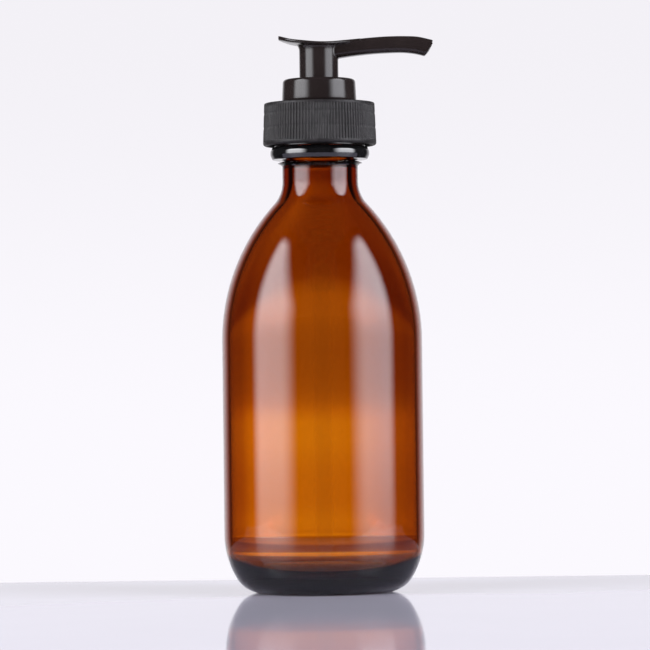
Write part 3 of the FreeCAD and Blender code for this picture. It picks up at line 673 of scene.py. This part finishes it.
def plate_loft():
    """The thumb plate: half an ellipse behind its widest place, and drawn in to the nozzle before it."""
    back, front, widest_x = TOP_LINE[0][0], 14.0, -2.0
    thick, wide, front_w, back_w = 1.5, 8.1, 3.6, 1.2
    steps = 44
    sections = []
    for i in range(steps + 1):
        x = back + (front - back) * (0.5 - 0.5 * math.cos(math.pi * i / steps))
        if x < widest_x:
            half_w = wide * math.sqrt(max(0.0, 1 - ((x - widest_x) / (back - widest_x)) ** 2))
        else:
            t = (x - widest_x) / (front - widest_x)
            half_w = front_w + (wide - front_w) * (0.5 + 0.5 * math.cos(math.pi * min(1.0, t)))
        z = curve_at(TOP_LINE, x)
        sections.append(superellipse((x, z), (x, z - thick), max(half_w, back_w), 3.5))
    return loft("thumb_plate", sections)


def skirt_lathe():
    """The skirt with its lock thread, flaring into the plate, and with the stem's socket inside."""
    low, _, _ = node_span("pump_head")
    head_r, flare_r, flare_z, top_z = 6.55, 7.7, 181.4, 183.75
    skirt_in, socket_r, socket_low, socket_top = 5.3, 4.07, 175.0, 178.05
    outline = [
        (skirt_in, low),
        *run((head_r, low), (head_r, flare_z), 0.4),
        *bow((head_r, flare_z), (flare_r, top_z), 3.7, 12),
        (flare_r, top_z),
        (0.0, top_z),
        (0.0, socket_top),
        (socket_r, socket_top),
        (socket_r, socket_low),
        (skirt_in, socket_low),
    ]

    def thread(angle, r, z):
        if abs(r - head_r) > 0.01:
            return 0.0
        return ridge(angle, z, 166.6, LOCK_PITCH, 1.0, 0.4, 0.6, 0.3)

    return lathe("skirt", outline, 128, thread)


def channel_cutter():
    """A rod along the channel: up from the stem, round a bend and out at the tip."""
    channel_r, channel_z, bend, start_z, past_tip_x = 1.3, 182.4, 3.0, 177.5, 41.0
    route = [(0.0, start_z), (0.0, channel_z - bend)]
    for a in np.linspace(0.2, 1.4, 6):
        route.append((bend - bend * math.cos(a), channel_z - bend + bend * math.sin(a)))
    route += [(bend, channel_z), (20.0, channel_z), (past_tip_x, channel_z)]
    sections = []
    for i, (x, z) in enumerate(route):
        ahead = np.array(route[min(i + 1, len(route) - 1)]) - np.array(route[max(i - 1, 0)])
        tangent = ahead / np.linalg.norm(ahead)
        normal = np.array([-tangent[1], tangent[0]])
        ring = []
        for k in range(32):
            a = 2 * math.pi * k / 32
            offset = normal * math.cos(a) * channel_r
            ring.append((x + offset[0], math.sin(a) * channel_r, z + offset[1]))
        sections.append(ring)
    return loft("channel", sections)


def build_head():
    """Skirt, plate and nozzle grown together with soft fillets, then bored through."""
    raw = [nozzle_loft(), plate_loft(), skirt_lathe()]
    head = raw[0]
    with bpy.context.temp_override(active_object=head, selected_editable_objects=raw, selected_objects=raw):
        bpy.ops.object.join()
    head.name = "lotion_head"
    remesh = head.modifiers.new("grow", "REMESH")
    remesh.mode = "VOXEL"
    remesh.voxel_size = 0.22 * MM
    remesh.use_smooth_shade = True
    smooth = head.modifiers.new("soften", "SMOOTH")
    smooth.factor = 0.5
    smooth.iterations = 8
    cutter = channel_cutter()
    bore = head.modifiers.new("bore", "BOOLEAN")
    bore.operation = "DIFFERENCE"
    bore.solver = "EXACT"
    bore.object = cutter
    apply_modifiers(head)
    bpy.data.objects.remove(cutter)
    shade_smooth(head, 45)
    return dress(head, "head", "pump_head", GLOSS)


# ---------------------------------------------------------------- CAD nodes that keep their shape


def finish_cad_nodes():
    looks = {
        "gasket": FOAM,
        "spring_seat": NATURAL,
        "inlet_ball": NATURAL,
        "piston_rod": NATURAL,
        "piston": NATURAL,
    }
    for node, material in looks.items():
        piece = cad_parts[node]
        piece.data.materials.clear()
        piece.data.materials.append(material)
        shade_smooth(piece)


# ---------------------------------------------------------------- studio


BACKDROP = (0.9, 0.88, 0.925)
# Painted light and shade: the THROUGH profiles below set the amber's brighter and darker bands and its
# redder dim parts, in place of shading from the glass itself.
# The backdrop that the glass refracts is graded so that the amber looks as in the photo: how
# bright it is against the upward part of the direction ...
THROUGH_UP = [(-0.085, 1.3), (-0.05, 1.8), (-0.0413, 1.85), (-0.033, 1.56), (-0.0246, 1.6),
              (-0.0163, 1.82), (-0.0108, 1.8), (-0.008, 1.55), (-0.0053, 1.2), (-0.0025, 1.03),
              (0.0017, 0.93), (0.0086, 0.88), (0.0155, 0.93), (0.0224, 1.05), (0.0305, 1.04),
              (0.036, 0.82), (0.04, 0.6), (0.047, 0.54), (0.06, 0.58), (0.12, 0.9)]
# ... and against its part to the right.
THROUGH_RIGHT = [(-0.4, 1.0), (-0.16, 0.92), (-0.11, 1.12), (-0.07, 1.18), (-0.02, 1.02), (0.0, 1.0),
                 (0.04, 0.93), (0.075, 0.76), (0.1, 0.7), (0.14, 0.72), (0.2, 0.74), (0.4, 1.0)]
# The dimmer it is there, the redder: how much green it has against its brightness.
THROUGH_GREEN = [(0.0, 0.3), (0.5, 0.52), (0.9, 0.8), (1.5, 0.93), (1.85, 1.1), (2.6, 1.25)]


def build_floor():
    """A glossy white table whose back edge is close behind the bottle."""
    half, front, back, thick = 0.6, -0.32, 0.08, 0.02
    plan = ((-half, front), (half, front), (half, back), (-half, back))
    corners = [(x, y, z) for z in (-thick, 0.0) for x, y in plan]
    faces = [(3, 2, 1, 0), (4, 5, 6, 7), (0, 1, 5, 4), (1, 2, 6, 5), (2, 3, 7, 6), (3, 0, 4, 7)]
    table = new_object("table", corners, faces)
    m = Shader("table_gloss")
    m.set(IOR=1.45, Specular_IOR_Level=0.5)
    m.set(Sheen_Weight=0.1, Sheen_Roughness=0.3, Sheen_Tint=(0.95, 0.9, 1.0, 1))
    m.mix_colour(m.noise(6.0, 3.0), (0.56, 0.54, 0.66), (0.6, 0.58, 0.7))
    m.link(m.between(m.noise(14.0, 4.0), 0.03, 0.06), m.surface.inputs["Roughness"])
    table.data.materials.append(m.material)


def build_softbox(name, inner_deg, outer_deg, lean_by, colour):
    """A tall upright light, seen from the bottle between two azimuths (degrees right of the camera). Its
    side towards the camera fades gently and leans away higher up; it is dimmer at its foot, which
    reaches below the table's height."""
    far, bottom, top = 1.35, -0.3, 2.2
    inner, outer = math.radians(inner_deg), math.radians(outer_deg)
    middle = (inner + outer) / 2
    half_w = far * math.tan(abs(outer - inner) / 2) * math.copysign(1, outer - inner)
    toward = Vector((math.sin(middle), -math.cos(middle), 0))
    side = Vector((math.cos(middle), math.sin(middle), 0))
    places = ((-1, 0), (1, 0), (1, 1), (-1, 1))
    up = Vector((0, 0, 1))
    corners = [toward * far + side * (u * half_w) + up * (bottom + v * (top - bottom)) for u, v in places]
    panel = new_object(name, corners, [(0, 1, 2, 3)])
    uv = panel.data.uv_layers.new(name="panel")
    for loop, (u, v) in zip(uv.data, places):
        loop.uv = ((u + 1) / 2, v)
    m = Shader(name)
    m.nodes.remove(m.surface)
    split = m.add("ShaderNodeSeparateXYZ")
    m.link(m.place.outputs["UV"], split.inputs["Vector"])

    def ramp(source, low, high, low_value, high_value, smooth="SMOOTHSTEP"):
        node = m.add("ShaderNodeMapRange", interpolation_type=smooth)
        set_range(node, low, high, low_value, high_value)
        m.link(source, node.inputs["Value"])
        return node.outputs["Result"]

    def combine(operation, first, second):
        node = m.add("ShaderNodeMath", operation=operation)
        m.link(first, node.inputs[0])
        m.link(second, node.inputs[1])
        return node.outputs["Value"]

    across, height = split.outputs["X"], split.outputs["Y"]
    lean = ramp(height, 0.36, 1.0, 0.0, lean_by, "LINEAR")
    light = ramp(combine("SUBTRACT", across, lean), 0.05, 0.4, 0.0, 1.0)
    for fade in (
        ramp(across, 0.75, 1.0, 1.0, 0.0),
        ramp(height, 0.09, 0.14, 0.5, 1.0),
        ramp(height, 0.14, 0.36, 5.5, 8.0),
        ramp(height, 0.75, 0.91, 1.0, 0.0),
    ):
        light = combine("MULTIPLY", light, fade)
    glow = m.add("ShaderNodeEmission")
    glow.inputs["Color"].default_value = (*colour, 1)
    m.link(light, glow.inputs["Strength"])
    m.link(glow.outputs["Emission"], m.output.inputs["Surface"])
    panel.data.materials.append(m.material)
    panel.visible_camera = False
    panel.visible_transmission = False


def build_world():
    """A white backdrop. It is smooth where it is seen directly. Where it is seen straight through the glass
    it follows the THROUGH profiles, which paint light and shade and a redder tint into the amber. Light
    that was mirrored on its way, outside or inside the glass, finds only the middle of the backdrop, as if
    the room beside and before the bottle were dark."""
    world = bpy.data.worlds.new("studio")
    bpy.context.scene.world = world
    world.use_nodes = True
    nodes, links = world.node_tree.nodes, world.node_tree.links
    nodes.clear()
    output = nodes.new("ShaderNodeOutputWorld")
    place = nodes.new("ShaderNodeTexCoord")
    split = nodes.new("ShaderNodeSeparateXYZ")
    links.new(place.outputs["Generated"], split.inputs["Vector"])

    def graded(source, low, high, low_value, high_value):
        node = nodes.new("ShaderNodeMapRange")
        node.interpolation_type = "SMOOTHSTEP"
        set_range(node, low, high, low_value, high_value)
        links.new(source, node.inputs["Value"])
        return node.outputs["Result"]

    def times(first, second):
        """An output times another output or a plain number."""
        node = nodes.new("ShaderNodeMath")
        node.operation = "MULTIPLY"
        links.new(first, node.inputs[0])
        if isinstance(second, float):
            node.inputs[1].default_value = second
        else:
            links.new(second, node.inputs[1])
        return node.outputs["Value"]

    def profile(source, stops):
        """A smooth value through (position, value) stops."""
        low, high = stops[0][0], stops[-1][0]
        peak = max(v for _, v in stops)
        ramp = nodes.new("ShaderNodeValToRGB")
        elements = ramp.color_ramp.elements
        elements.remove(elements[1])
        for i, (at, value) in enumerate(stops):
            element = elements[0] if i == 0 else elements.new((at - low) / (high - low))
            element.position = (at - low) / (high - low)
            element.color = (value / peak, value / peak, value / peak, 1)
        spread = nodes.new("ShaderNodeMapRange")
        set_range(spread, low, high, 0.0, 1.0)
        links.new(source, spread.inputs["Value"])
        links.new(spread.outputs["Result"], ramp.inputs["Fac"])
        return times(ramp.outputs["Color"], peak)

    def background(colour, strength):
        node = nodes.new("ShaderNodeBackground")
        node.inputs["Color"].default_value = (*colour, 1)
        links.new(strength, node.inputs["Strength"])
        return node

    def with_green(backdrop, green):
        """Replaces the green of a backdrop's colour."""
        node = nodes.new("ShaderNodeCombineColor")
        node.inputs["Red"].default_value = BACKDROP[0]
        node.inputs["Blue"].default_value = BACKDROP[2]
        links.new(green, node.inputs["Green"])
        links.new(node.outputs["Color"], backdrop.inputs["Color"])

    def mixed(factor, first, second):
        node = nodes.new("ShaderNodeMixShader")
        links.new(factor, node.inputs["Fac"])
        links.new(first.outputs[0], node.inputs[1])
        links.new(second.outputs[0], node.inputs[2])
        return node

    path = nodes.new("ShaderNodeLightPath")
    seen = background(BACKDROP, graded(split.outputs["Z"], -0.02, 0.1, 1.075, 1.0))
    # Painted light and shade: the backdrop behind the glass is brightened, dimmed and reddened by the
    # THROUGH profiles, so the amber's bands come from here, not from the glass.
    upward, rightward = profile(split.outputs["Z"], THROUGH_UP), profile(split.outputs["X"], THROUGH_RIGHT)
    brightness = times(upward, rightward)
    through = background(BACKDROP, brightness)
    with_green(through, profile(brightness, THROUGH_GREEN))
    mirrored = background(BACKDROP, graded(split.outputs["Y"], 0.72, 0.95, 0.025, 1.0))
    straight = nodes.new("ShaderNodeMath")
    straight.operation = "LESS_THAN"
    straight.inputs[1].default_value = 0.5
    links.new(path.outputs["Glossy Depth"], straight.inputs[0])
    clear = times(straight.outputs["Value"], path.outputs["Is Transmission Ray"])
    others = mixed(clear, mirrored, through)
    links.new(mixed(path.outputs["Is Camera Ray"], others, seen).outputs[0], output.inputs["Surface"])


def build_camera():
    """A long lens below the bottle's middle, over a metre away, looking a little up."""
    eye_z, aim_z, distance, focal_px, frame_px = 0.070, 0.0893, 1.21, 3611.0, 650.0
    camera_data = bpy.data.cameras.new("camera")
    camera_data.sensor_width = 36.0
    camera_data.lens = focal_px / frame_px * camera_data.sensor_width
    camera_data.clip_start = 0.05
    camera = bpy.data.objects.new("camera", camera_data)
    bpy.context.scene.collection.objects.link(camera)
    pitch, roll = math.atan((aim_z - eye_z) / distance), math.radians(-0.69)
    camera.matrix_world = (
        Matrix.Translation((0.00103, -distance, eye_z))
        @ Matrix.Rotation(math.pi / 2 + pitch, 4, "X")
        @ Matrix.Rotation(roll, 4, "Z")
    )
    bpy.context.scene.camera = camera


def set_view():
    """Plain colours, and enough bounces for light inside the glass."""
    scene = bpy.context.scene
    scene.view_settings.view_transform = "Standard"
    scene.view_settings.look = "None"
    scene.cycles.max_bounces = 24
    scene.cycles.transmission_bounces = 20
    scene.cycles.glossy_bounces = 8
    scene.cycles.transparent_max_bounces = 24


build_glass()
build_tamper_ring()
build_closure()
build_shell()
build_chaplet()
build_housing()
build_dip_tube()
build_stem()
build_spring()
build_head()
finish_cad_nodes()
build_floor()
build_softbox("softbox_left", -25.0, -89.0, 0.58, (0.95, 0.96, 1.0))
build_softbox("softbox_right", 26.0, 93.0, 0.54, (0.9, 0.91, 0.97))
build_world()
build_camera()
set_view()
